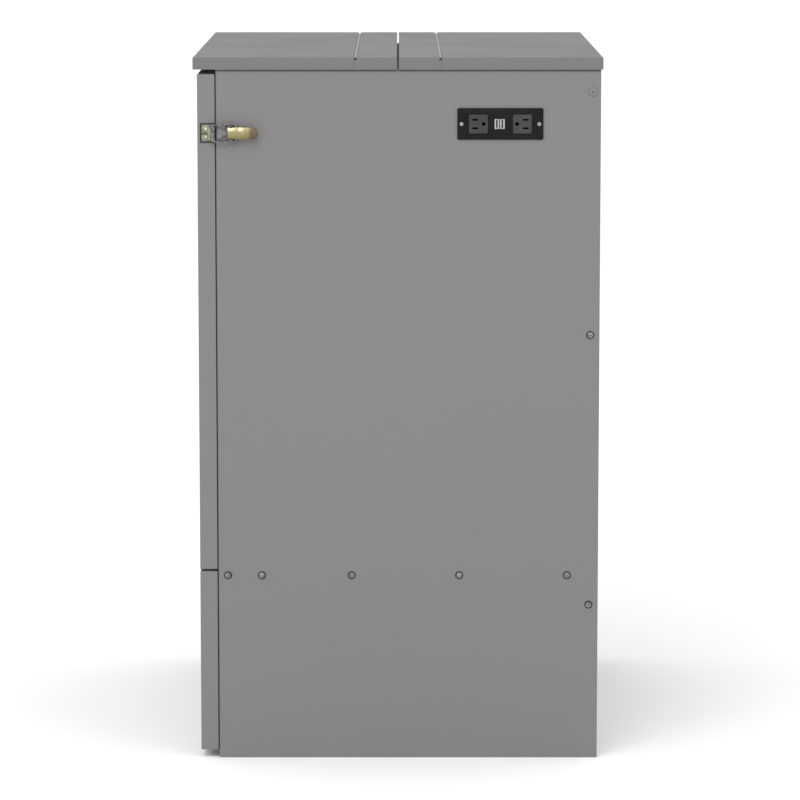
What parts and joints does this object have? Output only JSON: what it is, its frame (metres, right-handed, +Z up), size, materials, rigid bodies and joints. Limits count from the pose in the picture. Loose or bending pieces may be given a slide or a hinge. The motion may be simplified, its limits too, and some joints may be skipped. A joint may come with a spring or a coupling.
{
  "type": "outdoor battery box",
  "caption": "Free-standing folded-sheet battery cabinet with a drop-down front door, side draw latches, a split hinged roof lid, an outlet plate, and an inverter and battery bank inside.",
  "frame": {"origin": "centre of the bounding box at the floor", "axes": "+Z up; the door faces -Y; the outlet plate is on the +X side"},
  "size_m": [0.7826, 0.61, 1.0625],
  "materials": {
    "grey_paint": "satin grey powder coat with fine orange peel",
    "galvanised_steel": "galvanised sheet",
    "hinge_steel": "plain hinge steel",
    "zinc_plate": "bright zinc plate",
    "yellow_zinc": "yellow chromated zinc",
    "screw_steel": "zinc plated screws",
    "seal_foam": "closed-cell foam",
    "grommet_rubber": "black rubber",
    "black_plate": "black moulded plastic",
    "receptacle_grey": "dark grey moulded plastic",
    "port_metal": "bright stamped metal",
    "battery_case": "textured polypropylene",
    "terminal_lead": "cast lead",
    "link_copper": "bare copper bar",
    "inverter_paint": "black powder coat",
    "fan_plastic": "moulded fan plastic",
    "breaker_plastic": "moulded breaker case",
    "toggle_plastic": "red toggle",
    "red_cable": "red cable jacket",
    "black_cable": "black cable jacket"
  },
  "bodies": {
    "cabinet": {"base_pan": "galvanised_steel", "battery_1": "battery_case", "battery_2": "battery_case", "battery_3": "battery_case", "battery_4": "battery_case", "battery_hold_down": "galvanised_steel", "battery_links": "link_copper", "battery_terminals": "terminal_lead", "black_cables": "black_cable", "cable_grommet": "grommet_rubber", "corner_screws": "grey_paint", "dc_breaker": "breaker_plastic", "door_hinge_fixed": "hinge_steel", "door_hinge_pin": "hinge_steel", "equipment_shelf": "galvanised_steel", "faceplate_screws": "screw_steel", "front_lid_hinge_fixed": "hinge_steel", "front_lid_hinge_pin": "hinge_steel", "front_lid_strip": "grey_paint", "front_mid_rail": "galvanised_steel", "inverter_case": "inverter_paint", "latch_pivot_pins": "zinc_plate", "latch_rivets": "zinc_plate", "left_latch_base": "zinc_plate", "left_side_panel": "grey_paint", "lower_front_panel": "grey_paint", "lower_panel_gasket": "seal_foam", "outlet_faceplate": "black_plate", "outlet_housing": "black_plate", "positive_cables": "red_cable", "rear_lid_hinge_fixed": "hinge_steel", "rear_lid_hinge_pin": "hinge_steel", "rear_lid_strip": "grey_paint", "rear_panel": "grey_paint", "rear_panel_screws": "screw_steel", "receptacle_faces": "receptacle_grey", "right_latch_base": "zinc_plate", "right_side_panel": "grey_paint", "roof_frame": "grey_paint", "roof_gasket": "seal_foam", "shelf_screws": "screw_steel", "usb_ports": "port_metal"},
    "door": {"door_panel": "grey_paint", "door_gasket": "seal_foam", "door_hinge_moving": "hinge_steel", "right_latch_strike": "zinc_plate", "left_latch_strike": "zinc_plate", "strike_rivets": "zinc_plate"},
    "front_lid": {"front_lid_leaf": "grey_paint", "front_lid_hinge_moving": "hinge_steel"},
    "rear_lid": {"rear_lid_leaf": "grey_paint", "rear_lid_hinge_moving": "hinge_steel"},
    "right_lever": {"right_latch_lever": "yellow_zinc", "right_latch_hook_pin": "zinc_plate"},
    "left_lever": {"left_latch_lever": "yellow_zinc", "left_latch_hook_pin": "zinc_plate"},
    "right_hook": {"right_latch_hook": "zinc_plate"},
    "left_hook": {"left_latch_hook": "zinc_plate"},
    "fan_rotor": {"inverter_fan": "fan_plastic"},
    "toggle": {"breaker_toggle": "toggle_plastic"}
  },
  "joints": [
    {"name": "door_hinge", "type": "hinge", "parent": "cabinet", "child": "door", "pos_m": [0, -0.2978, 0.289], "axis": [1, 0, 0], "range_deg": [0, 105]},
    {"name": "front_lid_hinge", "type": "hinge", "parent": "cabinet", "child": "front_lid", "pos_m": [0, -0.0635, 1.0607], "axis": [-1, 0, 0], "range_deg": [0, 95]},
    {"name": "rear_lid_hinge", "type": "hinge", "parent": "cabinet", "child": "rear_lid", "pos_m": [0, 0.0635, 1.0607], "axis": [1, 0, 0], "range_deg": [0, 95]},
    {"name": "right_latch_lever_pivot", "type": "hinge", "parent": "cabinet", "child": "right_lever", "pos_m": [0.386, -0.2492, 0.95], "axis": [0, 0, -1], "range_deg": [0, 130]},
    {"name": "right_latch_hook_pivot", "type": "hinge", "parent": "right_lever", "child": "right_hook", "pos_m": [0.3845, -0.2412, 0.95], "axis": [0, 0, -1], "range_deg": [-152, 0]},
    {"name": "left_latch_lever_pivot", "type": "hinge", "parent": "cabinet", "child": "left_lever", "pos_m": [-0.386, -0.2492, 0.95], "axis": [0, 0, 1], "range_deg": [0, 130]},
    {"name": "left_latch_hook_pivot", "type": "hinge", "parent": "left_lever", "child": "left_hook", "pos_m": [-0.3845, -0.2412, 0.95], "axis": [0, 0, 1], "range_deg": [-152, 0]},
    {"name": "fan_spin", "type": "hinge", "parent": "cabinet", "child": "fan_rotor", "pos_m": [0, 0.172, 0.624], "axis": [0, 1, 0], "continuous": true},
    {"name": "breaker_toggle_pivot", "type": "hinge", "parent": "cabinet", "child": "toggle", "pos_m": [0.22, 0.244, 0.486], "axis": [1, 0, 0], "range_deg": [-25, 25]}
  ],
  "couplings": [
    {"joint": "right_latch_hook_pivot", "follows": "right_latch_lever_pivot", "ratio": -1.16},
    {"joint": "left_latch_hook_pivot", "follows": "left_latch_lever_pivot", "ratio": -1.16}
  ]
}
